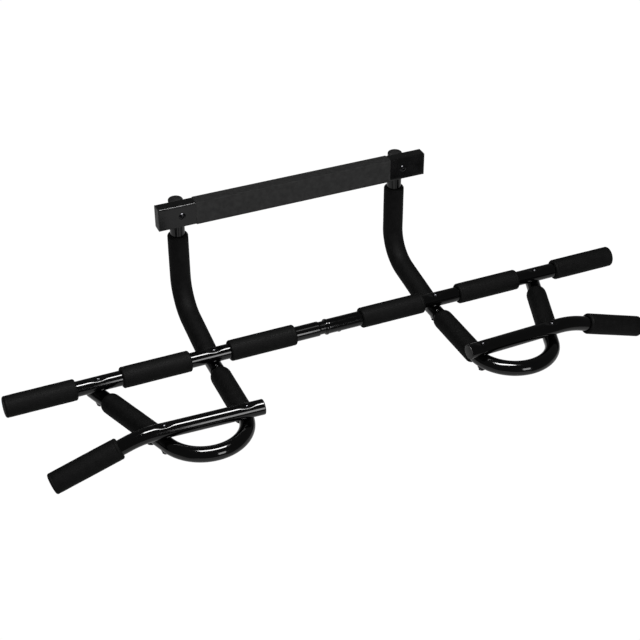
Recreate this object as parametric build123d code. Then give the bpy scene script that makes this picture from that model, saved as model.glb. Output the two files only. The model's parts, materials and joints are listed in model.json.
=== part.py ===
from build123d import *
import os
from math import asin, atan2, cos, degrees, radians, sin, sqrt, tan

# Doorway pull-up bar. While modelling, the origin is the middle of the main bar:
# +X to the user's right along the bar, +Y away from the user towards the door head, +Z up.
# Everything is shifted on export, so that the origin is the middle of the header pad's underside.

# Tubes
TUBE_D = 25.0
TUBE_WALL = 1.5
BAR_SADDLE = 2.2            # how far the main bar is let into the legs below it
HANDLE_SADDLE = 0.8
FIT_GAP = 0.05              # radial clearance of slip-on pieces
SEAT_GAP = 0.02             # clearance of clamped faces

# Main bar, in two tubes that plug together in the middle
BAR_HALF = 550.0            # middle to the closed end of the outer grip
LEFT_TUBE_END = -16.0       # where the left tube starts to narrow
RIGHT_TUBE_END = -6.5       # mouth of the right tube
SPIGOT_END = 46.0           # the narrowed end reaches this far inside the right tube
BEAD_WIDTH = 5.5
BEAD_HEIGHT = 1.1
JOINT_SCREW_X = 20.0

# Foam grips
GRIP_D = 35.0
GRIP_LENGTH = 116.0
GRIP_END_WALL = 5.0         # foam over the tube's end on a closed grip
GRIP_ROUND = 3.0
BAR_GRIP_CENTRES = {"outer": 492.0, "middle": 301.5, "inner": 118.0}

# U frames, level, hanging under the main bar and reaching towards the user
INNER_LEG_X = 202.0         # where the inner leg crosses under the bar
INNER_LEG_TOE = 0.9         # the inner leg and the upright lean out a little towards the user
INNER_LEG_RUN = 142.0       # from the bar's middle to the start of the bend
OUTER_LEG_X = 397.5         # where the slanted outer leg crosses under the bar
BEND_RADIUS = 68.5
OUTER_LEG_TAIL = 18.0       # how far the outer leg runs on behind the bar's middle
LEG_SPLIT = -18.0           # the inner leg narrows here and enters the upright
UPRIGHT_START = -16.0       # mouth of the upright's tube
LEG_SPIGOT_END = 13.0
LEG_SLEEVE_START = 23.0     # distance from the bar's middle to the leg sleeves
INNER_SLEEVE_CLEAR = 19.0   # distance from the leg sleeves to the handle's axis
OUTER_SLEEVE_CLEAR = 24.0

# Uprights, with lengths counted back from the main bar's middle
KINK_START = 19.0
KINK_ANGLE = 11.0           # rise of the lower run towards the wall
KINK_RADIUS = 50.0
UPRIGHT_RADIUS = 60.0
UPRIGHT_TOP = 202.0
UPRIGHT_SLEEVE_START = 27.0
UPRIGHT_SLEEVE_TOP = 138.0
CAP_RISE = 4.0

# Header bar, a rectangular tube in front of the uprights
HEADER_HALF = 240.0
HEADER_DEPTH = 20.0
HEADER_HEIGHT = 40.0
HEADER_Y = 143.0
HEADER_Z = 188.6
HEADER_WALL = 1.5
PLUG_FLANGE = 2.0
PLUG_PROUD = 0.3
PLUG_INSERT = 12.0
ROUND_PLUG_INSERT = 8.0     # stays clear of bolts and pressed walls
PAD_HALF = 176.0
PAD_THICK = 0.8

# Handles, lying across the legs in an upright plane that is turned by a small toe angle
HANDLE_Y = -159.0           # at the inner leg
HANDLE_TOE = 2.0
HANDLE_DROOP = 19.3         # how far the outer end bends down
HANDLE_BEND_RADIUS = 140.0
HANDLE_INNER_END = -26.0    # lengths along the straight part from the inner leg
HANDLE_VERTEX = 167.0
HANDLE_GRIP_START = 38.0    # lengths along the bent part from the bend's corner
HANDLE_PLUG_FLANGE = 3.0

# M6 bolts throughout. Where a bolt goes in, the upper tube is pressed in to a shallow dimple
SHANK_R, HOLE_R = 2.9, 3.2
HEAD_R, HEAD_H = 6.0, 3.6
NUT_AF, NUT_H = 10.0, 5.0
NUT_CHAMFER = 0.6
DIMPLE_DEPTH = 3.0
DIMPLE_RADIUS = 39.0
SPOT_FACE_R = 6.7
SCREW_SPOT_FACE = 0.8       # depth of the flat under the joint screw's head
WASHER_R, WASHER_MIN = 7.0, 1.2
BOLT_TIP = 1.0              # shank past the nut
SOCKET_AF_SHARE = 0.38      # socket's width as a share of the head's diameter
SOCKET_DEPTH_SHARE = 0.55

TUBE_R = TUBE_D / 2
TUBE_BORE = TUBE_R - TUBE_WALL
SPIGOT_R = TUBE_BORE - FIT_GAP
SPIGOT_BORE = SPIGOT_R - TUBE_WALL
GRIP_R = GRIP_D / 2
GRIP_BORE = TUBE_R + FIT_GAP
LEG_Z = BAR_SADDLE - TUBE_D
HANDLE_Z = BAR_SADDLE - HANDLE_SADDLE
HEADER_BACK = HEADER_Y + HEADER_DEPTH / 2
UPRIGHT_Y = HEADER_BACK + TUBE_R + SEAT_GAP
ORIGIN = Vector(0, HEADER_Y, HEADER_Z - HEADER_HEIGHT / 2 - PAD_THICK)


def save(name, shape):
    """Write one node, moved so that the header pad's underside is the origin."""
    export_step(Pos(-ORIGIN) * shape, f"parts/{name}.step")


def save_pair(name, right):
    """Write the right-hand piece and its mirror image."""
    save(f"{name}_right", right)
    save(f"{name}_left", mirror(right, about=Plane.YZ))


def rod(start, end, radius):
    """A round bar between two points."""
    start, end = Vector(start), Vector(end)
    place = Plane(origin=start, z_dir=end - start)
    return place * Cylinder(radius, (end - start).length, align=(Align.CENTER, Align.CENTER, Align.MIN))


def swept(path, radius):
    """A round bar along a path."""
    start = Plane(origin=path @ 0, z_dir=path % 0)
    return sweep(start * Circle(radius), path=path)


def turned(points):
    """A ring about the X axis from (x, radius) corners."""
    outline = make_face(Polyline([Vector(x, r) for x, r in points], close=True))
    return revolve(outline, Axis.X)


def rounded_bar(length, radius, rounding, rims=2):
    """A round bar along +X from the origin, with both rims or only the far one rounded."""
    bar = rod((0, 0, 0), (length, 0, 0), radius)
    circles = bar.edges().filter_by(GeomType.CIRCLE).sort_by(Axis.X)
    return fillet(circles[-rims:], rounding)


def grip(closed_end):
    """A foam grip along +X from the origin. A closed grip has a wall at its far end."""
    bore_length = GRIP_LENGTH - GRIP_END_WALL + FIT_GAP if closed_end else GRIP_LENGTH
    return rounded_bar(GRIP_LENGTH, GRIP_R, GRIP_ROUND) - rod((0, 0, 0), (bore_length, 0, 0), GRIP_BORE)


def hexagon(across_flats, height):
    """A hexagonal prism standing on the origin."""
    return extrude(RegularPolygon(across_flats / sqrt(3), 6), height)


def button_bolt(length):
    """A domed socket-head bolt: the shank goes down from the origin, the head stands on it."""
    dome_r = (HEAD_R**2 + HEAD_H**2) / (2 * HEAD_H)
    head = rod((0, 0, 0), (0, 0, HEAD_H), HEAD_R) & Pos(0, 0, HEAD_H - dome_r) * Sphere(dome_r)
    socket_depth = HEAD_H * SOCKET_DEPTH_SHARE
    socket = Pos(0, 0, HEAD_H - socket_depth) * hexagon(2 * HEAD_R * SOCKET_AF_SHARE, HEAD_H)
    return head - socket + rod((0, 0, 0), (0, 0, -length), SHANK_R)


def hex_nut():
    """A nut that hangs below the origin, with its lower corners chamfered."""
    corner_r = NUT_AF / sqrt(3)
    low = (Align.CENTER, Align.CENTER, Align.MIN)
    body = hexagon(NUT_AF, NUT_H) & Cone(corner_r + NUT_H, corner_r - NUT_CHAMFER, NUT_H, align=low)
    return Rot(180, 0, 0) * (body - rod((0, 0, -1), (0, 0, NUT_H + 1), SHANK_R + SEAT_GAP))


def end_plug(flange, rounding):
    """A plastic plug for a tube's end: its rounded flange points along +X from the tube's mouth."""
    insert = rod((0, 0, 0), (-ROUND_PLUG_INSERT, 0, 0), SPIGOT_R)
    return rounded_bar(flange, TUBE_R, rounding, rims=1) + insert


def facing(point, direction, side=(0, 0, 1)):
    """The place of a piece whose own +X points along a direction."""
    return Plane(origin=point, x_dir=direction, z_dir=side)


# Plan geometry of the right-hand U frame: a slanted outer leg, a round bend and an inner leg
leg_lift = Vector(0, 0, LEG_Z)
inner_back = Vector(-sin(radians(INNER_LEG_TOE)), cos(radians(INNER_LEG_TOE)))
bend_out = Vector(cos(radians(INNER_LEG_TOE)), sin(radians(INNER_LEG_TOE)))
centre = Vector(INNER_LEG_X, 0) - inner_back * INNER_LEG_RUN + bend_out * BEND_RADIUS
leg_top = Vector(OUTER_LEG_X, 0)
reach = centre - leg_top
leg_angle = atan2(reach.Y, reach.X) + asin(BEND_RADIUS / reach.length)
leg_direction = Vector(cos(leg_angle), sin(leg_angle))
leg_run = sqrt(reach.length**2 - BEND_RADIUS**2)
bend_turn = 270 + degrees(leg_angle) - INNER_LEG_TOE


def bend_point(turn):
    """A point on the bend's axis, turned in degrees from the inner leg's end."""
    turn = radians(turn)
    return centre - bend_out * (BEND_RADIUS * cos(turn)) - inner_back * (BEND_RADIUS * sin(turn)) + leg_lift


def outer_leg_point(along):
    """A point on the outer leg's axis, by its distance in front of the main bar."""
    return leg_top + leg_direction * along + leg_lift


def inner_line_point(along, rise=0):
    """A point over the line of inner leg and upright, by its distance behind the main bar."""
    return Vector(INNER_LEG_X, 0, LEG_Z + rise) + inner_back * along


# Places where tubes cross, seen from above
handle_direction = Vector(cos(radians(HANDLE_TOE)), sin(radians(HANDLE_TOE)))
root_turn = degrees(asin((centre.Y - HANDLE_Y) / BEND_RADIUS)) + INNER_LEG_TOE
handle_root = bend_point(root_turn) - leg_lift
to_leg = leg_top - handle_root
handle_span = to_leg.cross(leg_direction).Z / handle_direction.cross(leg_direction).Z
bar_crossings = [Vector(INNER_LEG_X, 0), Vector(OUTER_LEG_X, 0)]
handle_crossings = [handle_root, handle_root + handle_direction * handle_span]


def handle_point(along):
    """A point on the handle's straight axis, by its distance from the inner leg."""
    return handle_root + handle_direction * along + Vector(0, 0, HANDLE_Z)


droop = radians(HANDLE_DROOP)
bent_direction = handle_direction * cos(droop) - Vector(0, 0, sin(droop))
handle_side = Vector(-handle_direction.Y, handle_direction.X)
handle_corner = handle_point(HANDLE_VERTEX)
handle_grip_root = handle_corner + bent_direction * HANDLE_GRIP_START
handle_tube_end = handle_grip_root + bent_direction * (GRIP_LENGTH - GRIP_END_WALL)
handle_path = FilletPolyline(handle_point(HANDLE_INNER_END), handle_corner, handle_tube_end,
                             radius=HANDLE_BEND_RADIUS)

outer_tangent = outer_leg_point(leg_run)
inner_tangent = bend_point(0)
u_path = Wire([
    Line(outer_leg_point(-OUTER_LEG_TAIL), outer_tangent).edge(),
    ThreePointArc(outer_tangent, bend_point(bend_turn / 2), inner_tangent).edge(),
    Line(inner_tangent, inner_line_point(LEG_SPLIT - TUBE_R)).edge(),
])

climb = tan(radians(KINK_ANGLE))
upright_back = UPRIGHT_Y / inner_back.Y
upright_corner = inner_line_point(upright_back, (upright_back - KINK_START) * climb)
upright_top = inner_line_point(upright_back, UPRIGHT_TOP - LEG_Z)
upright_path = FilletPolyline(inner_line_point(UPRIGHT_START), inner_line_point(KINK_START),
                              upright_corner, upright_top, radius=[KINK_RADIUS, UPRIGHT_RADIUS])
sleeve_rise = (UPRIGHT_SLEEVE_START - KINK_START) * climb
upright_sleeve_path = FilletPolyline(inner_line_point(UPRIGHT_SLEEVE_START, sleeve_rise), upright_corner,
                                     inner_line_point(upright_back, UPRIGHT_SLEEVE_TOP - LEG_Z),
                                     radius=UPRIGHT_RADIUS)


def foam_sleeve(path):
    """A foam sleeve on a bent tube, with its rims rounded."""
    outside = swept(path, GRIP_R)
    rims = outside.edges().filter_by(GeomType.CIRCLE)
    ends = [rims.sort_by_distance(path @ 0)[0], rims.sort_by_distance(path @ 1)[0]]
    return fillet(ends, GRIP_ROUND) - swept(path, GRIP_BORE)


# Fasteners
leg_outside = swept(u_path, TUBE_R + SEAT_GAP)
upright_outside = swept(upright_path, TUBE_R + SEAT_GAP)


def clamp(seat, stack, far_tube):
    """A bolt, saddle washer and nut through a stack of the given thickness. seat faces the head."""
    washer_bottom = stack + WASHER_MIN
    bolt = button_bolt(washer_bottom + NUT_H + BOLT_TIP)
    washer = rod((0, 0, -washer_bottom), (0, 0, WASHER_MIN - stack), WASHER_R)
    washer -= rod((0, 0, -washer_bottom - 1), (0, 0, 0), SHANK_R + SEAT_GAP)
    nut = Pos(0, 0, -washer_bottom) * hex_nut()
    return seat * bolt, seat * washer - far_tube, seat * nut


def bolt_hole(place, z):
    """The hole through both tubes where they cross, with the flat under the bolt's head."""
    seat = z + TUBE_R - DIMPLE_DEPTH
    hole = rod((place.X, place.Y, z + TUBE_R), (place.X, place.Y, LEG_Z - TUBE_R - 1), HOLE_R)
    return hole + rod((place.X, place.Y, seat), (place.X, place.Y, seat + TUBE_R), SPOT_FACE_R)


def dimpled_pipe(outside, bore, places, z):
    """A tube whose wall is pressed in from above where its bolts go."""
    for place in places:
        middle = Pos(place.X, place.Y, z + TUBE_R - DIMPLE_DEPTH + DIMPLE_RADIUS)
        outside -= middle * Sphere(DIMPLE_RADIUS)
        bore -= middle * Sphere(DIMPLE_RADIUS + TUBE_WALL)
    tube = outside - bore
    for place in places:
        tube -= bolt_hole(place, z)
    return tube


def saddled_pipe(outside, bore, bar_start, bar_end, gap=SEAT_GAP):
    """A tube whose wall is pressed in where another tube lies across it."""
    outside -= rod(bar_start, bar_end, TUBE_R + gap)
    bore -= rod(bar_start, bar_end, TUBE_R + gap + TUBE_WALL)
    return outside, bore


def both_sides(sets):
    """Each kind of fastener with its mirror images, as one group of separate solids."""
    groups = []
    for kind in zip(*sets):
        groups.append(Compound(children=[*kind, *[mirror(one, about=Plane.YZ) for one in kind]]))
    return groups


def make_main_bar():
    """The two tubes of the main bar. The left one's narrowed end plugs into the right one."""
    tube_end = BAR_HALF - GRIP_END_WALL
    bead_end = RIGHT_TUBE_END + BEAD_WIDTH
    outside = turned([
        (RIGHT_TUBE_END, 0), (RIGHT_TUBE_END, TUBE_R + BEAD_HEIGHT / 2),
        (RIGHT_TUBE_END + BEAD_WIDTH / 4, TUBE_R + BEAD_HEIGHT),
        (bead_end - BEAD_WIDTH / 4, TUBE_R + BEAD_HEIGHT), (bead_end, TUBE_R),
        (tube_end, TUBE_R), (tube_end, 0),
    ])
    bore = rod((RIGHT_TUBE_END, 0, 0), (tube_end, 0, 0), TUBE_BORE)
    right = dimpled_pipe(outside, bore, bar_crossings, 0)

    neck = TUBE_R - SPIGOT_R
    outside = turned([
        (-tube_end, 0), (-tube_end, TUBE_R), (LEFT_TUBE_END - neck, TUBE_R),
        (LEFT_TUBE_END, TUBE_R - neck / 2), (LEFT_TUBE_END + neck, SPIGOT_R),
        (SPIGOT_END, SPIGOT_R), (SPIGOT_END, 0),
    ])
    bore = turned([
        (-tube_end, 0), (-tube_end, TUBE_BORE), (LEFT_TUBE_END - 2 * neck, TUBE_BORE),
        (LEFT_TUBE_END - neck, SPIGOT_BORE), (SPIGOT_END, SPIGOT_BORE), (SPIGOT_END, 0),
    ])
    left = dimpled_pipe(outside, bore, [Vector(-place.X, 0) for place in bar_crossings], 0)

    # The joint's screw comes up from below into an insert nut inside the narrowed end
    head_z = TUBE_R - SCREW_SPOT_FACE
    insert_top = SPIGOT_BORE - NUT_H
    screw_hole = rod((JOINT_SCREW_X, 0, -TUBE_R), (JOINT_SCREW_X, 0, 0), HOLE_R)
    head_flat = rod((JOINT_SCREW_X, 0, -TUBE_R), (JOINT_SCREW_X, 0, -head_z), SPOT_FACE_R)
    screw = Pos(JOINT_SCREW_X, 0, -head_z) * Rot(180, 0, 0) * button_bolt(head_z - insert_top + BOLT_TIP)
    insert = rod((JOINT_SCREW_X, 0, -TUBE_R), (JOINT_SCREW_X, 0, -insert_top), NUT_AF / 2)
    insert &= rod((0, 0, 0), (SPIGOT_END, 0, 0), SPIGOT_BORE - SEAT_GAP)
    insert -= rod((JOINT_SCREW_X, 0, -TUBE_R), (JOINT_SCREW_X, 0, 0), SHANK_R + SEAT_GAP)
    save("main_bar_right", right - screw_hole - head_flat)
    save("main_bar_left", left - screw_hole)
    save("joint_screw", screw)
    save("joint_insert", insert)

    for name, middle in BAR_GRIP_CENTRES.items():
        place = Pos(middle - GRIP_LENGTH / 2, 0, 0)
        save_pair(f"bar_grip_{name}", place * grip(closed_end=name == "outer"))


def make_u_frame():
    """The bent tube under one side of the main bar, its foam sleeves and its rear plug."""
    neck = TUBE_R - SPIGOT_R
    inner_line = facing(inner_line_point(0), inner_back)
    spigot_outside = inner_line * turned([
        (LEG_SPLIT - TUBE_R, 0), (LEG_SPLIT - TUBE_R, TUBE_R), (LEG_SPLIT - neck, TUBE_R),
        (LEG_SPLIT, TUBE_R - neck / 2), (LEG_SPLIT + neck, SPIGOT_R), (LEG_SPIGOT_END, SPIGOT_R),
        (LEG_SPIGOT_END, 0),
    ])
    spigot_bore = inner_line * turned([
        (LEG_SPLIT - TUBE_R, 0), (LEG_SPLIT - TUBE_R, TUBE_BORE), (LEG_SPLIT - 2 * neck, TUBE_BORE),
        (LEG_SPLIT - neck, SPIGOT_BORE), (LEG_SPIGOT_END, SPIGOT_BORE), (LEG_SPIGOT_END, 0),
    ])
    middle = ((INNER_LEG_X + OUTER_LEG_X) / 2, 0, 0)
    outside, bore = swept(u_path, TUBE_R), swept(u_path, TUBE_BORE)
    outside, bore = saddled_pipe(outside, bore, middle, (BAR_HALF, 0, 0))
    outside, bore = saddled_pipe(outside, bore, handle_point(HANDLE_INNER_END), handle_corner)
    spigot_outside, spigot_bore = saddled_pipe(spigot_outside, spigot_bore, (0, 0, 0), middle,
                                               SEAT_GAP + TUBE_WALL + FIT_GAP)
    tube = (outside - bore) + (spigot_outside - spigot_bore)
    for place in bar_crossings + handle_crossings:
        tube -= bolt_hole(place, 0)
    save_pair("u_frame", tube)
    plug = facing(outer_leg_point(-OUTER_LEG_TAIL), -leg_direction) * end_plug(PLUG_FLANGE, 1.2)
    save_pair("u_frame_plug", plug)

    legs = {
        "inner": (inner_line_point(-LEG_SLEEVE_START), -inner_back, handle_crossings[0], INNER_SLEEVE_CLEAR),
        "outer": (outer_leg_point(LEG_SLEEVE_START), leg_direction, handle_crossings[1], OUTER_SLEEVE_CLEAR),
    }
    for name, (start, direction, crossing, clear) in legs.items():
        length = (crossing + leg_lift - start).length - clear
        sleeve = rounded_bar(length, GRIP_R, GRIP_ROUND) - rod((0, 0, 0), (length, 0, 0), GRIP_BORE)
        save_pair(f"leg_sleeve_{name}", facing(start, direction) * sleeve)


def make_upright():
    """The tube from the main bar to the header, its foam sleeve and its cap."""
    outside, bore = swept(upright_path, TUBE_R), swept(upright_path, TUBE_BORE)
    outside, bore = saddled_pipe(outside, bore, (0, 0, 0), (BAR_HALF, 0, 0))
    tube = outside - bore - bolt_hole(bar_crossings[0], 0)
    tube -= rod((upright_top.X, 0, HEADER_Z), (upright_top.X, 2 * UPRIGHT_Y, HEADER_Z), HOLE_R)
    save_pair("upright", tube)
    save_pair("upright_sleeve", foam_sleeve(upright_sleeve_path))
    cap = end_plug(CAP_RISE, CAP_RISE - 0.8)
    save_pair("upright_cap", facing(upright_top, (0, 0, 1), (0, 1, 0)) * cap)


def make_handle():
    """The bar that lies across the legs, its grip and the plug in its inner end."""
    outside, bore = swept(handle_path, TUBE_R), swept(handle_path, TUBE_BORE)
    save_pair("handle", dimpled_pipe(outside, bore, handle_crossings, HANDLE_Z))
    save_pair("handle_grip", facing(handle_grip_root, bent_direction, handle_side) * grip(closed_end=True))
    plug = facing(handle_point(HANDLE_INNER_END), -handle_direction) * end_plug(HANDLE_PLUG_FLANGE, 2.2)
    save_pair("handle_plug", plug)


def make_header():
    """The bar that hooks over the door trim, with its pad and end plugs."""
    middle = Pos(0, HEADER_Y, HEADER_Z)
    length = 2 * (HEADER_HALF - PLUG_FLANGE)
    bore_depth, bore_height = HEADER_DEPTH - 2 * HEADER_WALL, HEADER_HEIGHT - 2 * HEADER_WALL
    tube = Box(length, HEADER_DEPTH, HEADER_HEIGHT)
    tube = fillet(tube.edges().filter_by(Axis.X), HEADER_WALL)
    tube = middle * (tube - Box(length, bore_depth, bore_height))
    for side in (-1, 1):
        x = side * upright_top.X
        tube -= rod((x, 0, HEADER_Z), (x, 2 * HEADER_Y, HEADER_Z), HOLE_R)
    save("header_bar", tube)

    pad = Box(2 * PAD_HALF, HEADER_DEPTH + 2 * PAD_THICK, HEADER_HEIGHT + 2 * PAD_THICK)
    pad = fillet(pad.edges().filter_by(Axis.X), PAD_THICK)
    pad -= Box(2 * PAD_HALF, HEADER_DEPTH + 2 * FIT_GAP, HEADER_HEIGHT + 2 * FIT_GAP)
    save("header_pad", middle * pad)

    low = (Align.MAX, Align.CENTER, Align.CENTER)
    high = (Align.MIN, Align.CENTER, Align.CENTER)
    flange = Box(PLUG_FLANGE, HEADER_DEPTH + 2 * PLUG_PROUD, HEADER_HEIGHT + 2 * PLUG_PROUD, align=high)
    flange = fillet(flange.edges().filter_by(Axis.X), HEADER_WALL)
    insert = Box(PLUG_INSERT, bore_depth - 2 * FIT_GAP, bore_height - 2 * FIT_GAP, align=low)
    save_pair("header_plug", Pos(length / 2, HEADER_Y, HEADER_Z) * (flange + insert))


def make_fasteners():
    """The bolts, washers and nuts of the three kinds of clamped joint, as groups."""
    def crossing(place, z, far_tube):
        seat_z = z + TUBE_R - DIMPLE_DEPTH
        return clamp(Pos(place.X, place.Y, seat_z), seat_z - (LEG_Z - TUBE_R), far_tube)

    inner, outer = bar_crossings
    front = Vector(upright_top.X, HEADER_Y - HEADER_DEPTH / 2, HEADER_Z)
    header_seat = Plane(origin=front, z_dir=(0, -1, 0))
    groups = {
        "bar": both_sides([crossing(inner, 0, upright_outside), crossing(outer, 0, leg_outside)]),
        "handle": both_sides([crossing(place, HANDLE_Z, leg_outside) for place in handle_crossings]),
        "header": both_sides([clamp(header_seat, UPRIGHT_Y + TUBE_R - front.Y, upright_outside)]),
    }
    for joint, kinds in groups.items():
        for kind, group in zip(("bolts", "washers", "nuts"), kinds):
            save(f"{joint}_{kind}", group)


os.makedirs("parts", exist_ok=True)
make_main_bar()
make_u_frame()
make_upright()
make_handle()
make_header()
make_fasteners()
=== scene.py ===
import bpy
import bmesh
import json
from functools import partial
from math import asin, atan2, ceil, cos, degrees, pi, radians, sin, sqrt, tan
from mathutils import Matrix, Vector


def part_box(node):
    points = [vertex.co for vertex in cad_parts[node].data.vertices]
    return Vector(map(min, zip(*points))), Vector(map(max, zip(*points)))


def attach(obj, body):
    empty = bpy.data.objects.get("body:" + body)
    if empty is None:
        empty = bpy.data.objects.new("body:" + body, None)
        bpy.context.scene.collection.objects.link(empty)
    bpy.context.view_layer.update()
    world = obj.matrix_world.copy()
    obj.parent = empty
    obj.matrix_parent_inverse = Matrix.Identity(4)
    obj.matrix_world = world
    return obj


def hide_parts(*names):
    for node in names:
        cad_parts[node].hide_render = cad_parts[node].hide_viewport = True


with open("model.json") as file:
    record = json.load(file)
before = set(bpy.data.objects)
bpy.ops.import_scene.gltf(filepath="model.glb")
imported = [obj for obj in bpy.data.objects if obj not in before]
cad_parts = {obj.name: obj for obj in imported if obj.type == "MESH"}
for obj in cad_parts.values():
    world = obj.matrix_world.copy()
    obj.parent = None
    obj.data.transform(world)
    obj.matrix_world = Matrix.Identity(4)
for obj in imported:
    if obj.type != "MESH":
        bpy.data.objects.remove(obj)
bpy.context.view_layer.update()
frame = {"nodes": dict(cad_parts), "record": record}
nodes = frame["nodes"]

# Lengths below are millimetres, counted from the middle of the main bar:
# +X to the user's right, +Y away from the user, +Z up
mm = 0.001
barLow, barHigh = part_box("main_bar_left")
barMiddle = Vector((0, (barLow[1] + barHigh[1]) / 2, (barLow[2] + barHigh[2]) / 2))


def place(point):
    return barMiddle + Vector(point) * mm


def toLinear(hexColour):
    channels = [int(hexColour[i:i + 2], 16) / 255 for i in (1, 3, 5)]
    return [c / 12.92 if c <= 0.04045 else ((c + 0.055) / 1.055) ** 2.4 for c in channels] + [1.0]


def addNode(tree, kind, sockets={}, **settings):
    # Each socket gets a value, or a link where what is given is another node's output
    node = tree.nodes.new(kind)
    for name, value in settings.items():
        setattr(node, name, value)
    for socket, value in sockets.items():
        if isinstance(value, bpy.types.NodeSocket):
            tree.links.new(value, node.inputs[socket])
        else:
            node.inputs[socket].default_value = value
    return node


def newMaterial(name, look):
    # A slow cloud varies the colour and the roughness, and each relief is a pattern pressed into the surface:
    # its texture node and output, the pattern's size, its depth and its strength
    material = bpy.data.materials.new(name)
    material.use_nodes = True
    tree = material.node_tree
    tree.nodes.clear()
    add = partial(addNode, tree)
    coords = add("ShaderNodeTexCoord").outputs["Object"]
    cloud = add("ShaderNodeTexNoise",
                {"Vector": coords, "Scale": 1 / (look["cloudSize"] * mm), "Detail": 3.0})
    share = add("ShaderNodeMapRange", {"Value": cloud.outputs["Fac"], "From Min": 0.3, "From Max": 0.7})
    low, high = (toLinear(colour) for colour in look["colours"])
    # Sockets 6 and 7 are the mix's two colours
    colour = add("ShaderNodeMix", {"Factor": share.outputs["Result"], 6: low, 7: high}, data_type="RGBA")
    least, most = look["roughness"]
    rough = add("ShaderNodeMapRange", {"Value": share.outputs["Result"], "To Min": least, "To Max": most})
    shader = add("ShaderNodeBsdfPrincipled",
                 {"Base Color": colour.outputs[2], "Roughness": rough.outputs["Result"]})
    for socket, value in look["shader"].items():
        shader.inputs[socket].default_value = value
    above = None
    for pattern, output, size, depth, strength in look["reliefs"]:
        texture = add(pattern, {"Vector": coords, "Scale": 1 / (size * mm)})
        bump = add("ShaderNodeBump",
                   {"Height": texture.outputs[output], "Distance": depth * mm, "Strength": strength})
        if above:
            tree.links.new(above, bump.inputs["Normal"])
        above = bump.outputs["Normal"]
    tree.links.new(above, shader.inputs["Normal"])
    add("ShaderNodeOutputMaterial", {"Surface": shader.outputs["BSDF"]})
    return material


# Gloss black powder coat, baked on steel tube: deep black with crisp lights and a faint orange peel
glossCoat = newMaterial("blackPowderCoatGloss", {
    "colours": ("#040404", "#070708"), "roughness": (0.06, 0.11), "cloudSize": 26, "shader": {"IOR": 1.48},
    "reliefs": [("ShaderNodeTexNoise", "Fac", 3.2, 0.012, 0.06)]})

# The same powder on the flat header, with a finer peel: its lights are softer
satinCoat = newMaterial("blackPowderCoatHeader", {
    "colours": ("#090909", "#0f0f10"), "roughness": (0.14, 0.22), "cloudSize": 18, "shader": {"IOR": 1.5},
    "reliefs": [("ShaderNodeTexNoise", "Fac", 2.2, 0.012, 0.2)]})

# Closed-cell nitrile foam, extruded and skinned: matte near-black, with soft waves and a fine grain of pores,
# drawn about twice as coarse as real ones
gripFoam = newMaterial("nitrileFoamSleeve", {
    "colours": ("#0f0f0f", "#171717"), "roughness": (0.62, 0.72), "cloudSize": 9,
    "shader": {"IOR": 1.45, "Specular IOR Level": 0.1},
    "reliefs": [("ShaderNodeTexNoise", "Fac", 3.5, 0.12, 0.3),
                ("ShaderNodeTexVoronoi", "Distance", 0.9, 0.1, 0.35)]})

# EVA foam sleeve, cut from sheet: a dull dark grey, mottled by its cells
padFoam = newMaterial("evaFoamPad", {
    "colours": ("#343434", "#3f3f3f"), "roughness": (0.76, 0.86), "cloudSize": 7,
    "shader": {"IOR": 1.45, "Specular IOR Level": 0.12},
    "reliefs": [("ShaderNodeTexNoise", "Fac", 4.0, 0.12, 0.3),
                ("ShaderNodeTexVoronoi", "Distance", 1.3, 0.1, 0.35)]})

# Black polyethylene, injection moulded: satin, with a spark-eroded grain
plugPlastic = newMaterial("blackPolyethyleneMoulded", {
    "colours": ("#101010", "#181818"), "roughness": (0.42, 0.54), "cloudSize": 7, "shader": {"IOR": 1.51},
    "reliefs": [("ShaderNodeTexNoise", "Fac", 0.8, 0.03, 0.3)]})

# Cold-headed alloy steel, black oxide and oil: dark metal that glints only on its edges
boltSteel = newMaterial("blackOxideSteel", {
    "colours": ("#2a2a2c", "#3e3e40"), "roughness": (0.2, 0.32), "cloudSize": 4, "shader": {"Metallic": 1.0},
    "reliefs": [("ShaderNodeTexNoise", "Fac", 1.1, 0.02, 0.2)]})

# Every CAD node takes its slot's material. Those without a finer piece, such as the bolts, are seen with it.
slotMaterials = {"tube_paint": glossCoat, "grip_foam": gripFoam, "pad_rubber": padFoam,
                 "plug_plastic": plugPlastic, "fastener_steel": boltSteel}
for part in frame["record"]["subparts"]:
    node = nodes[part["node"]]
    for spot in node.material_slots:
        spot.material = slotMaterials[part["material_slot"]]
print("materials made")

# Every press has its own inputs, and one that is not used stays far above the tube. In metres.
press = {"count": 3, "restZ": 100.0, "lift": 10.0}


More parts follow.
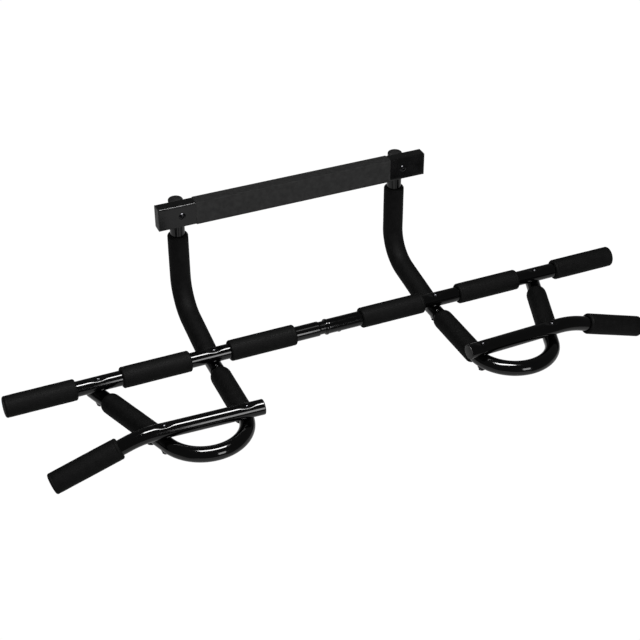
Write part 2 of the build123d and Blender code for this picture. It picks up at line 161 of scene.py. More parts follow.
def buildSweepTree():
    # A round section along a curve whose point radius is the section's radius. Presses push its top down
    # to a ball or to a cross bar, and unevenness moves its skin in and out.
    tree = bpy.data.node_groups.new("sweptSection", "GeometryNodeTree")
    add = partial(addNode, tree)
    inputs = [("Geometry", "Geometry", None), ("Ring Segments", "Int", 64), ("Fill Caps", "Bool", True),
              ("Press Softness", "Float", 0.0005)]
    for i in range(1, press["count"] + 1):
        inputs += [(f"Press {i} Centre", "Vector", (0, 0, press["restZ"])),
                   (f"Press {i} Axis", "Vector", (0, 0, 0)), (f"Press {i} Radius", "Float", 0.01)]
    inputs += [("Unevenness", "Float", 0.0), ("Unevenness Size", "Float", 0.02), ("Seed", "Float", 0.0),
               ("Material", "Material", None)]
    for name, kind, value in inputs:
        made = tree.interface.new_socket(name, in_out="INPUT", socket_type="NodeSocket" + kind)
        if value is not None:
            made.default_value = value
    tree.interface.new_socket("Geometry", in_out="OUTPUT", socket_type="NodeSocketGeometry")

    given = add("NodeGroupInput").outputs
    ring = add("GeometryNodeCurvePrimitiveCircle", {"Resolution": given["Ring Segments"], "Radius": 1.0})
    thickness = add("GeometryNodeInputRadius").outputs["Radius"]
    skin = add("GeometryNodeCurveToMesh",
               {"Curve": given["Geometry"], "Profile Curve": ring.outputs["Curve"], "Scale": thickness,
                "Fill Caps": given["Fill Caps"]})
    # A skin and its bore are welded where their ends meet
    skin = add("GeometryNodeMergeByDistance", {"Geometry": skin.outputs["Mesh"], "Distance": 0.02 * mm})
    here = add("GeometryNodeInputPosition").outputs["Position"]
    split = add("ShaderNodeSeparateXYZ", {"Vector": here}).outputs
    height = split["Z"]
    for i in range(1, press["count"] + 1):
        centre, axis, size = (given[f"Press {i} {part}"] for part in ("Centre", "Axis", "Radius"))
        # How far a point is from the press's axis, seen from above
        reach = add("ShaderNodeVectorMath", {0: here, 1: centre}, operation="SUBTRACT").outputs["Vector"]
        run = add("ShaderNodeVectorMath", {0: reach, 1: axis}, operation="DOT_PRODUCT").outputs["Value"]
        beside = add("ShaderNodeVectorMath", {0: axis, "Scale": run}, operation="SCALE").outputs["Vector"]
        across = add("ShaderNodeVectorMath", {0: reach, 1: beside}, operation="SUBTRACT").outputs["Vector"]
        flat = add("ShaderNodeVectorMath", {0: across, 1: (1, 1, 0)}, operation="MULTIPLY").outputs["Vector"]
        away = add("ShaderNodeVectorMath", {0: flat, 1: flat}, operation="DOT_PRODUCT").outputs["Value"]
        square = add("ShaderNodeMath", {0: size, 1: size}, operation="MULTIPLY").outputs["Value"]
        inside = add("ShaderNodeMath", {0: square, 1: away}, operation="SUBTRACT").outputs["Value"]
        kept = add("ShaderNodeMath", {0: inside, 1: 0.0}, operation="MAXIMUM").outputs["Value"]
        depth = add("ShaderNodeMath", {0: kept}, operation="SQRT").outputs["Value"]
        # Outside its radius a press is lifted clear, so that it leaves the tube alone
        clear = add("ShaderNodeMath", {0: inside, 1: 0.0}, operation="LESS_THAN").outputs["Value"]
        centreZ = add("ShaderNodeSeparateXYZ", {"Vector": centre}).outputs["Z"]
        top = add("ShaderNodeMath", {0: clear, 1: press["lift"], 2: centreZ},
                  operation="MULTIPLY_ADD").outputs["Value"]
        under = add("ShaderNodeMath", {0: top, 1: depth}, operation="SUBTRACT").outputs["Value"]
        height = add("ShaderNodeMath", {0: height, 1: under, 2: given["Press Softness"]},
                     operation="SMOOTH_MIN").outputs["Value"]
    pressed = add("ShaderNodeCombineXYZ", {"X": split["X"], "Y": split["Y"], "Z": height}).outputs["Vector"]
    skin = add("GeometryNodeSetPosition", {"Geometry": skin.outputs["Geometry"], "Position": pressed})
    fineness = add("ShaderNodeMath", {0: 1.0, 1: given["Unevenness Size"]}, operation="DIVIDE")
    noise = add("ShaderNodeTexNoise",
                {"W": given["Seed"], "Scale": fineness.outputs["Value"], "Detail": 2.0},
                noise_dimensions="4D")
    swing = add("ShaderNodeMath", {0: noise.outputs["Fac"], 1: 2.0, 2: -1.0}, operation="MULTIPLY_ADD")
    swell = add("ShaderNodeMath", {0: swing.outputs["Value"], 1: given["Unevenness"]}, operation="MULTIPLY")
    outward = add("GeometryNodeInputNormal").outputs["Normal"]
    shift = add("ShaderNodeVectorMath", {0: outward, "Scale": swell.outputs["Value"]}, operation="SCALE")
    skin = add("GeometryNodeSetPosition",
               {"Geometry": skin.outputs["Geometry"], "Offset": shift.outputs["Vector"]})
    skin = add("GeometryNodeSetShadeSmooth", {"Geometry": skin.outputs["Geometry"]})
    skin = add("GeometryNodeRealizeInstances", {"Geometry": skin.outputs["Geometry"]})
    skin = add("GeometryNodeSetMaterial",
               {"Geometry": skin.outputs["Geometry"], "Material": given["Material"]})
    add("NodeGroupOutput", {"Geometry": skin.outputs["Geometry"]})
    return tree


sweepTree = buildSweepTree()


def closeSkin(piece):
    # Welds what still touches, and turns every face outwards
    bm = bmesh.new()
    bm.from_mesh(piece.data)
    bmesh.ops.remove_doubles(bm, verts=bm.verts, dist=0.001 * mm)
    bmesh.ops.recalc_face_normals(bm, faces=bm.faces)
    bm.to_mesh(piece.data)
    bm.free()


def bake(maker, tree, values, name):
    # Runs a node tree on an object, and keeps the result as a plain mesh
    modifier = maker.modifiers.new("build", "NODES")
    modifier.node_group = tree
    for item in tree.interface.items_tree:
        if item.item_type == "SOCKET" and item.in_out == "INPUT" and item.name in values:
            modifier[item.identifier] = values[item.name]
    bpy.context.view_layer.update()
    depsgraph = bpy.context.evaluated_depsgraph_get()
    mesh = bpy.data.meshes.new_from_object(maker.evaluated_get(depsgraph), depsgraph=depsgraph)
    mesh.name = name
    bpy.data.objects.remove(maker)
    piece = bpy.data.objects.new(name, mesh)
    bpy.context.scene.collection.objects.link(piece)
    closeSkin(piece)
    return piece


def sweep(name, skin, material, presses=(), segments=64, bore=None, **more):
    # The skin and the bore are each a list of points and a list of radii, and they meet at the open ends
    curve = bpy.data.curves.new(name + "Path", "CURVE")
    curve.dimensions = "3D"
    for points, sectionRadii in (skin, bore) if bore else (skin,):
        spline = curve.splines.new("POLY")
        spline.points.add(len(points) - 1)
        for spot, point, radius in zip(spline.points, points, sectionRadii):
            spot.co = (*place(point), 1)
            spot.radius = radius * mm
    maker = bpy.data.objects.new(name + "Path", curve)
    bpy.context.scene.collection.objects.link(maker)
    values = {"Ring Segments": segments, "Fill Caps": bore is None, "Material": material}
    for i, (centre, axis, radius) in enumerate(presses, 1):
        values[f"Press {i} Centre"] = tuple(place(centre))
        values[f"Press {i} Axis"] = tuple(axis)
        values[f"Press {i} Radius"] = radius * mm
    values.update({key: float(value) for key, value in more.items()})
    return bake(maker, sweepTree, values, name)


def finish(piece, node):
    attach(piece, "root")
    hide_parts(node)


def mirrored(point):
    return Vector((-point[0], point[1], point[2]))


pathStep = 1.5


def straight(start, end):
    start, end = Vector(start), Vector(end)
    count = max(1, ceil((end - start).length / pathStep))
    return [start.lerp(end, i / count) for i in range(count + 1)]


def rounded(corners, bendRadii):
    # The path through the corners, with an arc of the given radius at each inner one
    path = [Vector(corners[0])]
    for before, corner, after, radius in zip(corners, corners[1:], corners[2:], bendRadii):
        before, corner, after = Vector(before), Vector(corner), Vector(after)
        inward, outward = (before - corner).normalized(), (after - corner).normalized()
        half = inward.angle(outward) / 2
        centre = corner + (inward + outward).normalized() * (radius / sin(half))
        first, last = corner + inward * (radius / tan(half)), corner + outward * (radius / tan(half))
        path += straight(path[-1], first)[1:]
        turn = pi - 2 * half
        side, ahead = (first - centre).normalized(), -inward
        count = max(2, ceil(turn * radius / pathStep))
        for i in range(1, count + 1):
            angle = turn * i / count
            path.append(centre + (side * cos(angle) + ahead * sin(angle)) * radius)
    return path + straight(path[-1], corners[-1])[1:]


def lengthsOf(path):
    total, lengths = 0.0, [0.0]
    for one, two in zip(path, path[1:]):
        total += (two - one).length
        lengths.append(total)
    return lengths


def atLength(path, lengths, wanted):
    for i in range(1, len(path)):
        if lengths[i] >= wanted or i == len(path) - 1:
            span = lengths[i] - lengths[i - 1]
            return path[i - 1].lerp(path[i], (wanted - lengths[i - 1]) / span if span else 0)


def along(path, outline):
    # Points on a path at the outline's lengths, and the outline's radii between them
    lengths = lengthsOf(path)
    marks = sorted({round(s, 4) for s, r in outline} |
                   {round(s, 4) for s in lengths if outline[0][0] < s < outline[-1][0]})
    points, radii, k = [], [], 0
    for mark in marks:
        while k < len(outline) - 2 and mark > outline[k + 1][0]:
            k += 1
        (s0, r0), (s1, r1) = outline[k], outline[k + 1]
        share = 0 if s1 == s0 else min(1, max(0, (mark - s0) / (s1 - s0)))
        points.append(atLength(path, lengths, mark))
        radii.append(r0 + (r1 - r0) * share)
    return points, radii


def corner(edge, radius, run, drop, rising, steps=9):
    # A quarter-round shoulder in an outline: run long, drop high, with its low end at the edge
    spots = []
    for i in range(steps + 1):
        angle = pi / 2 * i / steps
        spots.append((run * (1 - cos(angle)), radius - drop * (1 - sin(angle))))
    if rising:
        return [(edge + s, r) for s, r in spots]
    return [(edge - s, r) for s, r in reversed(spots)]


def domed(end, rise, radius, shares):
    # A shallow dome in an outline, at shares of its radius
    return [(end - rise * share ** 2, radius * share) for share in shares]


tube = {"radius": 12.5, "dimpleDepth": 3.0, "dimpleRadius": 39.0, "dimpleSoftness": 1.3,
        "saddleSoftness": 0.3}
uFrame = {"innerX": 202.0, "innerToe": 0.9, "innerRun": 142.0, "outerX": 397.5, "bendRadius": 68.5,
          "tail": 18.0, "z": -22.8, "split": -18.0, "spigotEnd": 13.0, "neckBefore": 2.0, "neckRun": 1.6}
handle = {"y": -159.0, "z": 1.4, "toe": 2.0, "droop": 19.3, "bendRadius": 140.0, "innerEnd": -26.0,
          "vertex": 167.0, "gripStart": 38.0, "tubeInGrip": 110.0}
upright = {"start": -16.0, "kinkStart": 19.0, "kinkAngle": 11.0, "kinkRadius": 50.0, "radius": 60.0,
           "top": 202.0, "y": 165.52, "edgeStart": 0.1, "edgeDrop": 0.4, "edgeEnd": 0.5,
           "sleeveStart": 27.0, "sleeveTop": 138.0, "lowRim": (5.0, 4.2), "highRim": (4.2, 4.2)}

toe = radians(uFrame["innerToe"])
innerBack, bendOut = Vector((-sin(toe), cos(toe), 0)), Vector((cos(toe), sin(toe), 0))
legLift = Vector((0, 0, uFrame["z"]))
innerTop, outerTop = Vector((uFrame["innerX"], 0, 0)), Vector((uFrame["outerX"], 0, 0))
bendCentre = innerTop - innerBack * uFrame["innerRun"] + bendOut * uFrame["bendRadius"]
reach = bendCentre - outerTop
legAngle = atan2(reach.y, reach.x) + asin(uFrame["bendRadius"] / reach.length)
legDirection = Vector((cos(legAngle), sin(legAngle), 0))
legRun = sqrt(reach.length ** 2 - uFrame["bendRadius"] ** 2)


def bendPoint(turn):
    turn = radians(turn)
    size = uFrame["bendRadius"]
    return bendCentre - bendOut * (size * cos(turn)) - innerBack * (size * sin(turn))


def innerLine(run, rise=0.0):
    return innerTop + innerBack * run + legLift + Vector((0, 0, rise))


handleDirection = Vector((cos(radians(handle["toe"])), sin(radians(handle["toe"])), 0))
handleTurn = degrees(asin((bendCentre.y - handle["y"]) / uFrame["bendRadius"])) + uFrame["innerToe"]
handleRoot = bendPoint(handleTurn)
toLeg = outerTop - handleRoot
span = toLeg.cross(legDirection).z / handleDirection.cross(legDirection).z
handleCrossings = [handleRoot, handleRoot + handleDirection * span]
handleLift = Vector((0, 0, handle["z"]))
droop = radians(handle["droop"])
bentDirection = handleDirection * cos(droop) - Vector((0, 0, sin(droop)))
handleCorner = handleRoot + handleDirection * handle["vertex"] + handleLift


def dimple(spot, z):
    # The press under a bolt's head, on a tube whose axis is at the height z
    seat = z + tube["radius"] - tube["dimpleDepth"]
    return (Vector((spot.x, spot.y, seat + tube["dimpleRadius"])), Vector((0, 0, 0)), tube["dimpleRadius"])


def saddle(point, direction):
    # The press under a tube that crosses through the point
    return (Vector(point), Vector(direction), tube["radius"])


def bothWays(build):
    for side, flip in (("right", Vector), ("left", mirrored)):
        build(side, flip)


bar = {"half": 550.0, "endWall": 5.0, "leftEnd": -16.0, "rightEnd": -6.5, "spigotEnd": 46.0,
       "spigotRadius": 10.95, "clearance": 0.1, "neckBefore": 2.4, "neckRun": 1.8, "neckSettle": 0.6,
       "mouthRun": 0.15, "mouthDrop": 0.2, "beadStart": 0.3, "beadRun": 5.0, "beadHeight": 1.1,
       "beadSteps": 12, "creaseAt": 5.9, "creaseDepth": 0.25, "creaseEnd": 6.9}


def neck(start, run, steps):
    # The shoulder where a tube is narrowed to go into another one
    drop = tube["radius"] - bar["spigotRadius"]
    turns = [pi / 2 * i / steps for i in range(steps + 1)]
    return [(start + run * sin(turn), tube["radius"] - drop * (1 - cos(turn))) for turn in turns]


def tubePiece(name, node, path, outline, presses, softness, flip):
    skin = along([flip(point) for point in path], outline)
    presses = [(flip(centre), flip(axis), radius) for centre, axis, radius in presses]
    piece = sweep(name, skin, glossCoat, presses, **{"Press Softness": softness * mm})
    finish(piece, node)


def buildMainBar():
    radius, end = tube["radius"], bar["half"] - bar["endWall"]
    presses = [dimple(innerTop, 0), dimple(outerTop, 0)]
    # The left tube, from its outer end to the narrowed end that goes into the right one. It is drawn on
    # the right and mirrored, as its dimples are.
    path = straight((end, 0, 0), (-bar["spigotEnd"], 0, 0))
    mouth = end + bar["leftEnd"]
    outline = [(0, radius)] + neck(mouth - bar["neckBefore"], bar["neckRun"], steps=6)
    outline += [(mouth + bar["neckSettle"], bar["spigotRadius"]),
                (end + bar["spigotEnd"], bar["spigotRadius"])]
    tubePiece("mainBarLeft", "main_bar_left", path, outline, presses, tube["dimpleSoftness"], mirrored)

    # The right tube, whose mouth is rolled out to a bead with a crease behind it
    path = straight((bar["rightEnd"], 0, 0), (end, 0, 0))
    outline = [(0, bar["spigotRadius"] + bar["clearance"]), (bar["mouthRun"], radius - bar["mouthDrop"])]
    for i in range(bar["beadSteps"] + 1):
        turn = pi * i / bar["beadSteps"]
        outline.append((bar["beadStart"] + bar["beadRun"] * (1 - cos(turn)) / 2,
                        radius + bar["beadHeight"] * sin(turn)))
    outline += [(bar["creaseAt"], radius - bar["creaseDepth"]), (bar["creaseEnd"], radius),
                (end - bar["rightEnd"], radius)]
    tubePiece("mainBarRight", "main_bar_right", path, outline, presses, tube["dimpleSoftness"], Vector)


def buildUFrame(side, flip):
    turnEnd = 270 + degrees(legAngle) - uFrame["innerToe"]
    path = straight(outerTop - legDirection * uFrame["tail"] + legLift,
                    outerTop + legDirection * legRun + legLift)
    steps = ceil(radians(turnEnd) * uFrame["bendRadius"] / pathStep)
    path += [bendPoint(turnEnd * (1 - i / steps)) + legLift for i in range(1, steps + 1)]
    path += straight(path[-1], innerLine(uFrame["spigotEnd"]))[1:]
    total = lengthsOf(path)[-1]
    split = total - uFrame["spigotEnd"] + uFrame["split"]
    outline = [(0, tube["radius"])] + neck(split - uFrame["neckBefore"], uFrame["neckRun"], steps=5)
    outline += [(total, bar["spigotRadius"])]
    presses = [saddle((0, 0, 0), (1, 0, 0)), saddle(handleRoot + handleLift, handleDirection)]
    tubePiece("uFrame" + side.capitalize(), "u_frame_" + side, path, outline, presses,
              tube["saddleSoftness"], flip)


uprightBack = upright["y"] / innerBack.y
climb = tan(radians(upright["kinkAngle"]))
uprightCorner = innerLine(uprightBack, (uprightBack - upright["kinkStart"]) * climb)


def buildUpright(side, flip):
    top = innerLine(uprightBack, upright["top"] - uFrame["z"])
    path = rounded([innerLine(upright["start"]), innerLine(upright["kinkStart"]), uprightCorner, top],
                   [upright["kinkRadius"], upright["radius"]])
    radius = tube["radius"]
    outline = [(0, bar["spigotRadius"] + bar["clearance"]),
               (upright["edgeStart"], radius - upright["edgeDrop"]), (upright["edgeEnd"], radius),
               (lengthsOf(path)[-1], radius)]
    presses = [saddle((0, 0, 0), (1, 0, 0))]
    tubePiece("upright" + side.capitalize(), "upright_" + side, path, outline, presses,
              tube["saddleSoftness"], flip)


def buildHandle(side, flip):
    start = handleRoot + handleDirection * handle["innerEnd"] + handleLift
    end = handleCorner + bentDirection * (handle["gripStart"] + handle["tubeInGrip"])
    path = rounded([start, handleCorner, end], [handle["bendRadius"]])
    outline = [(0, tube["radius"]), (lengthsOf(path)[-1], tube["radius"])]
    presses = [dimple(spot, handle["z"]) for spot in handleCrossings]
    tubePiece("handle" + side.capitalize(), "handle_" + side, path, outline, presses,
              tube["dimpleSoftness"], flip)


buildMainBar()
bothWays(buildUFrame)
bothWays(buildUpright)
bothWays(buildHandle)
print("tubes made")


foam = {"radius": 17.5, "length": 116.0, "rim": (3.4, 3.4), "edge": 0.05, "segments": 88, "fill": 0.95,
        "bore": 12.8, "boreRounding": 0.6, "boreCone": 0.1, "endWall": 5.0,
        "dome": 0.5, "domeShares": (0.85, 0.7, 0.5, 0.3, 0.12, 0.0),
        "grooveAt": 6.0, "grooveRoom": 1.0, "grooveDepth": 0.22,
        "grooveProfile": ((-1.6, 0.0), (-0.7, 0.7), (0.0, 1.0), (0.7, 0.7), (1.6, 0.0)),
        "unevenness": 0.22, "unevennessSize": 21.0, "seeds": {"right": 10, "left": 20},
        "centres": {"outer": 492.0, "middle": 301.5, "inner": 118.0},
        "legStart": 23.0, "legRim": (10.0, 4.3), "handleGaps": {"inner": 19.0, "outer": 24.0}}


def foamOutline(length, startRim, endRim, closedEnd):
    # startRim and endRim are the run and the drop of each rounded rim. A closed end is slightly domed.
    radius, edge = foam["radius"], foam["edge"]
    outline = [(0, foam["bore"])]
    outline += corner(edge, radius, *startRim, rising=True)
    for at in (foam["grooveAt"], length - foam["grooveAt"]):
        if startRim[0] + foam["grooveRoom"] < at < length - endRim[0] - foam["grooveRoom"]:
            outline += [(at + beside, radius - foam["grooveDepth"] * share)
                        for beside, share in foam["grooveProfile"]]
    if closedEnd:
        outline += corner(length - foam["dome"], radius, *endRim, rising=False)
        return outline + domed(length, foam["dome"], radius - endRim[1], foam["domeShares"])
    return outline + corner(length - edge, radius, *endRim, rising=False) + [(length, foam["bore"])]


def foamPiece(name, node, path, startRim, endRim, closedEnd, seed, flip):
    path = [flip(point) for point in path]
    length = lengthsOf(path)[-1]
    skin = along(path, foamOutline(length, startRim, endRim, closedEnd))
    wide, rounding = foam["bore"], foam["boreRounding"]
    bore = [(0, wide), (length, wide)]
    if closedEnd:
        floor = length - foam["endWall"]
        bore = [(0, wide), (floor - rounding, wide), (floor, wide - rounding), (floor + foam["boreCone"], 0)]
    piece = sweep(name, skin, gripFoam, segments=foam["segments"], bore=along(path, bore),
                  **{"Unevenness": foam["unevenness"] * mm, "Unevenness Size": foam["unevennessSize"] * mm,
                     "Seed": seed})
    finish(piece, node)


def buildFoam(side, flip):
    rim, tag, seed = foam["rim"], side.capitalize(), foam["seeds"][side]
    for i, (name, middle) in enumerate(foam["centres"].items()):
        path = straight((middle - foam["length"] / 2, 0, 0), (middle + foam["length"] / 2, 0, 0))
        foamPiece(f"barGrip{name.capitalize()}{tag}", f"bar_grip_{name}_{side}", path, rim, rim,
                  name == "outer", seed + i, flip)
    gripRoot = handleCorner + bentDirection * handle["gripStart"]
    path = straight(gripRoot, gripRoot + bentDirection * foam["length"])
    foamPiece("handleGrip" + tag, "handle_grip_" + side, path, rim, rim, True, seed + 4, flip)

    # Leg sleeves have long soft shoulders at the back, beside the main bar, and stop short of the handle
    start = innerLine(-foam["legStart"])
    length = (handleCrossings[0] + legLift - start).length - foam["handleGaps"]["inner"]
    path = straight(start, start - innerBack * length)
    foamPiece("legSleeveInner" + tag, "leg_sleeve_inner_" + side, path, foam["legRim"], rim, False,
              seed + 5, flip)
    start = outerTop + legDirection * foam["legStart"] + legLift
    length = (handleCrossings[1] + legLift - start).length - foam["handleGaps"]["outer"]
    path = straight(start, start + legDirection * length)
    foamPiece("legSleeveOuter" + tag, "leg_sleeve_outer_" + side, path, foam["legRim"], rim, False,
              seed + 6, flip)

    low = innerLine(upright["sleeveStart"], (upright["sleeveStart"] - upright["kinkStart"]) * climb)
    high = innerLine(uprightBack, upright["sleeveTop"] - uFrame["z"])
    path = rounded([low, uprightCorner, high], [upright["radius"]])
    foamPiece("uprightSleeve" + tag, "upright_sleeve_" + side, path, upright["lowRim"], upright["highRim"],
              False, seed + 7, flip)


bothWays(buildFoam)
print("foam made")


# A plug's flange stands out of the tube's mouth, and its stub goes into it
plug = {"stub": 1.5, "stubInset": 1.6, "lipRun": 0.02, "segments": 72,
        "domeShares": (0.9, 0.75, 0.55, 0.35, 0.15, 0.0),
        "handle": {"flange": 3.0, "rounding": 1.6, "dome": 1.0},
        "uFrame": {"flange": 2.0, "rounding": 1.0, "dome": 0.4},
        "cap": {"flange": 4.0, "rounding": 2.4, "dome": 1.3}}


def plugPiece(name, node, mouth, direction, shape, flip):
    radius, flange, rounding = tube["radius"], shape["flange"], shape["rounding"]
    stub, inner = plug["stub"], radius - plug["stubInset"]
    outline = [(0, inner), (stub, inner), (stub + plug["lipRun"], radius)]
    outline += corner(stub + flange - shape["dome"], radius, rounding, rounding, rising=False)
    outline += domed(stub + flange, shape["dome"], radius - rounding, plug["domeShares"])
    mouth, direction = Vector(mouth), Vector(direction)
    skin = along([flip(mouth - direction * stub), flip(mouth + direction * flange)], outline)
    piece = sweep(name, skin, plugPlastic, segments=plug["segments"])
    finish(piece, node)


def buildPlugs(side, flip):
    tag = side.capitalize()
    mouth = handleRoot + handleDirection * handle["innerEnd"] + handleLift
    plugPiece("handlePlug" + tag, "handle_plug_" + side, mouth, -handleDirection, plug["handle"], flip)
    mouth = outerTop - legDirection * uFrame["tail"] + legLift
    plugPiece("uFramePlug" + tag, "u_frame_plug_" + side, mouth, -legDirection, plug["uFrame"], flip)
    mouth = innerLine(uprightBack, upright["top"] - uFrame["z"])
    plugPiece("uprightCap" + tag, "upright_cap_" + side, mouth, (0, 0, 1), plug["cap"], flip)


bothWays(buildPlugs)
print("plugs made")


header = {"half": 240.0, "depth": 20.0, "height": 40.0, "y": 143.0, "z": 188.6, "corner": 1.5, "rim": 0.2,
          "step": 40.0, "topBulge": 0.5,
          "padHalf": 176.0, "padThick": 0.8, "padCorner": 1.3, "padRim": 1.5, "padStep": 3.0,
          "padBulge": 0.12, "padFill": 1.0,
          "flange": 2.0, "plugLip": 0.3, "plugCorner": 1.9, "plugRim": 0.7, "plugStep": 1.0}


def roundedBox(width, height, radius, steps=6, spacing=4.0):
    # The outline of a bar's section, in the YZ plane
    spots = []
    for cy, cz, start in ((1, 1, 0), (-1, 1, 90), (-1, -1, 180), (1, -1, 270)):
        middle = Vector((cy * (width / 2 - radius), cz * (height / 2 - radius)))
        for i in range(steps + 1):
            angle = radians(start + 90 * i / steps)
            spots.append(middle + Vector((cos(angle), sin(angle))) * radius)
    full = []
    for one, two in zip(spots, spots[1:] + spots[:1]):
        count = max(1, ceil((two - one).length / spacing))
        full += [one.lerp(two, i / count) for i in range(count)]
    return full


def loft(name, stations, width, height, cornerRadius, material):
    # Sections along X. Each station is (x, how far the section is drawn in, how far it bulges)
    bm = bmesh.new()
    rings = []
    for x, inset, bulge in stations:
        ring = []
        for y, z in roundedBox(width, height, cornerRadius):
            dy, dz = abs(y) / (width / 2), abs(z) / (height / 2)
            y -= (1 if y > 0 else -1) * (inset * dy - bulge * (1 - dz ** 2))
            z -= (1 if z > 0 else -1) * (inset * dz - bulge * (1 - dy ** 2) * header["topBulge"])
            ring.append(bm.verts.new(place((x, header["y"] + y, header["z"] + z))))
        rings.append(ring)
    for one, two in zip(rings, rings[1:]):
        for i in range(len(one)):
            j = (i + 1) % len(one)
            bm.faces.new((one[i], one[j], two[j], two[i]))
    bm.faces.new(rings[0])
    bm.faces.new(list(reversed(rings[-1])))
    for one in bm.faces:
        one.smooth = len(one.verts) == 4
    mesh = bpy.data.meshes.new(name)
    bm.to_mesh(mesh)
    bm.free()
    mesh.materials.append(material)
    piece = bpy.data.objects.new(name, mesh)
    bpy.context.scene.collection.objects.link(piece)
    closeSkin(piece)
    return piece


def rimStations(start, end, rim, step, bulge=0.0, steps=5):
    # Stations from start to end with rounded rims
    turns = [pi / 2 * i / steps for i in range(steps + 1)]
    stations = [(start + rim * (1 - cos(turn)), rim * (1 - sin(turn)), bulge * sin(turn)) for turn in turns]
    run = end - start - 2 * rim
    count = max(1, ceil(run / step))
    stations += [(start + rim + run * i / count, 0, bulge) for i in range(1, count)]
    return stations + [(start + end - x, inset, swell) for x, inset, swell in reversed(stations[:steps + 1])]


def buildHeader():
    depth, height, half = header["depth"], header["height"], header["half"] - header["flange"]
    stations = rimStations(-half, half, header["rim"], header["step"])
    piece = loft("headerBar", stations, depth, height, header["corner"], satinCoat)
    finish(piece, "header_bar")
    stations = rimStations(-header["padHalf"], header["padHalf"], header["padRim"], header["padStep"],
                           header["padBulge"])
    thick = header["padThick"]
    piece = loft("headerPad", stations, depth + 2 * thick, height + 2 * thick, header["padCorner"], padFoam)
    finish(piece, "header_pad")
    lip = header["plugLip"]
    for side, sign in (("right", 1), ("left", -1)):
        ends = sorted((sign * half, sign * header["half"]))
        stations = rimStations(*ends, header["plugRim"], header["plugStep"])
        piece = loft("headerPlug" + side.capitalize(), stations, depth + 2 * lip, height + 2 * lip,
                     header["plugCorner"], plugPlastic)
        finish(piece, "header_plug_" + side)


buildHeader()
print("header made")

# In metres
stage = {"floorZ": -1.6, "radius": 60.0, "tone": "#ffffff", "glow": 1.02, "skyLight": 0.08}


def buildBackdrop():
    # A paper floor that turns up into a dome far away. Only the camera sees it, so that it casts no light.
    bm = bmesh.new()
    bmesh.ops.create_icosphere(bm, subdivisions=5, radius=stage["radius"])
    for spot in bm.verts:
        spot.co.z = max(spot.co.z, stage["floorZ"])
    mesh = bpy.data.meshes.new("paperFloor")
    bm.to_mesh(mesh)
    bm.free()
    floor = bpy.data.objects.new("paperFloor", mesh)
    bpy.context.scene.collection.objects.link(floor)
    for ray in ("glossy", "diffuse", "transmission", "shadow"):
        setattr(floor, "visible_" + ray, False)
    paper = bpy.data.materials.new("whitePaper")
    paper.use_nodes = True
    shader = paper.node_tree.nodes["Principled BSDF"]
    for socket, value in (("Base Color", (0, 0, 0, 1)), ("Specular IOR Level", 0.0),
                          ("Emission Strength", stage["glow"]), ("Emission Color", toLinear(stage["tone"]))):
        shader.inputs[socket].default_value = value
    mesh.materials.append(paper)


def softbox(name, centre, target, width, height, radiance, unseenBy):
    # The radiance is the lamp's own brightness, whatever its size. Rays it is unseen by get no light from it.
    lamp = bpy.data.lights.new(name, "AREA")
    lamp.shape = "RECTANGLE"
    lamp.size, lamp.size_y = width, height
    lamp.energy = radiance * pi * width * height
    holder = bpy.data.objects.new(name, lamp)
    centre, target = Vector(centre), Vector(target)
    back = (centre - target).normalized()
    right = Vector((1, 0, 0))
    right = (right - back * right.dot(back)).normalized()
    turned = Matrix((right, back.cross(right), back)).transposed().to_4x4()
    holder.matrix_world = Matrix.Translation(centre) @ turned
    holder.visible_camera = False
    for ray in unseenBy:
        setattr(holder, "visible_" + ray, False)
    bpy.context.scene.collection.objects.link(holder)


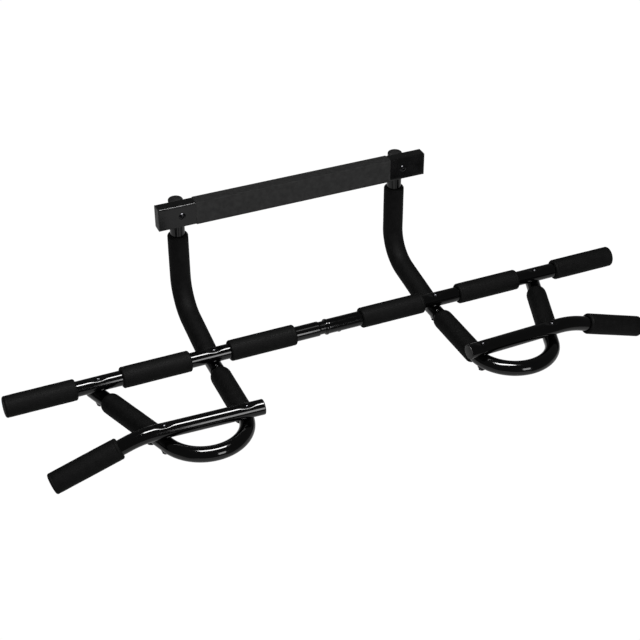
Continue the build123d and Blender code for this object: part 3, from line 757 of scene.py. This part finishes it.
# In metres. The key strips draw the white line on the tubes, the low box the grey one, and the bounce cards
# the soft grey of the tubes' lower halves. The fills light only the matte surfaces.
aim, floorZ = barMiddle, stage["floorZ"]
lamps = {
    "keyStrip": {"centre": (-0.07, -0.441, 1.363), "target": (-0.07, aim.y, aim.z),
                 "width": 0.86, "height": 0.37, "radiance": 34.0, "unseenBy": ["diffuse"]},
    "keyTail": {"centre": (0.445, -0.441, 1.363), "target": (0.445, aim.y, aim.z),
                "width": 0.17, "height": 0.37, "radiance": 1.6, "unseenBy": ["diffuse"]},
    "lowBox": {"centre": (0.625, -3.17, 0.48), "target": (0.625, aim.y, aim.z),
               "width": 0.85, "height": 1.2, "radiance": 6.5, "unseenBy": []},
    "fill": {"centre": (-0.5, -2.0, 1.33), "target": aim,
             "width": 2.4, "height": 1.6, "radiance": 1.9, "unseenBy": ["glossy"]},
    "backFill": {"centre": (0.2, 2.6, 0.8), "target": aim,
                 "width": 2.4, "height": 1.6, "radiance": 2.0, "unseenBy": ["glossy"]},
    "bounceBack": {"centre": (0.8, 2.0, floorZ), "target": (0.8, 2.0, floorZ + 1),
                   "width": 12.0, "height": 8.4, "radiance": 0.42, "unseenBy": ["diffuse"]},
    "bounceFront": {"centre": (-0.6, -2.9, floorZ), "target": (-0.6, -2.9, floorZ + 1),
                    "width": 3.4, "height": 1.4, "radiance": 0.5, "unseenBy": ["diffuse"]}}


def buildStudio():
    for name, lamp in lamps.items():
        softbox(name, **lamp)
    world = bpy.data.worlds.new("studio")
    world.use_nodes = True
    background = world.node_tree.nodes["Background"].inputs
    background["Color"].default_value = (1, 1, 1, 1)
    background["Strength"].default_value = stage["skyLight"]
    bpy.context.scene.world = world
    bpy.context.scene.view_settings.view_transform = "Standard"


# Angles in degrees, and the lens and the sensor in millimetres
view = {"place": (-830.0, -1887.6, 1430.7), "yaw": 23.384, "pitch": 34.514, "roll": -0.207,
        "lens": 84.37, "sensor": 36.0, "nearest": 0.05, "farthest": 200.0}


def buildCamera():
    yaw, pitch, roll = (radians(view[part]) for part in ("yaw", "pitch", "roll"))
    ahead = Vector((sin(yaw) * cos(pitch), cos(yaw) * cos(pitch), -sin(pitch)))
    level = Vector((cos(yaw), -sin(yaw), 0))
    raised = level.cross(ahead)
    right = level * cos(roll) + raised * sin(roll)
    up = raised * cos(roll) - level * sin(roll)
    lens = bpy.data.cameras.new("camera")
    lens.sensor_width, lens.lens = view["sensor"], view["lens"]
    lens.clip_start, lens.clip_end = view["nearest"], view["farthest"]
    camera = bpy.data.objects.new("camera", lens)
    turned = Matrix((right, up, -ahead)).transposed().to_4x4()
    camera.matrix_world = Matrix.Translation(place(view["place"])) @ turned
    bpy.context.scene.collection.objects.link(camera)
    bpy.context.scene.camera = camera


buildBackdrop()
buildStudio()
buildCamera()
print("studio made")
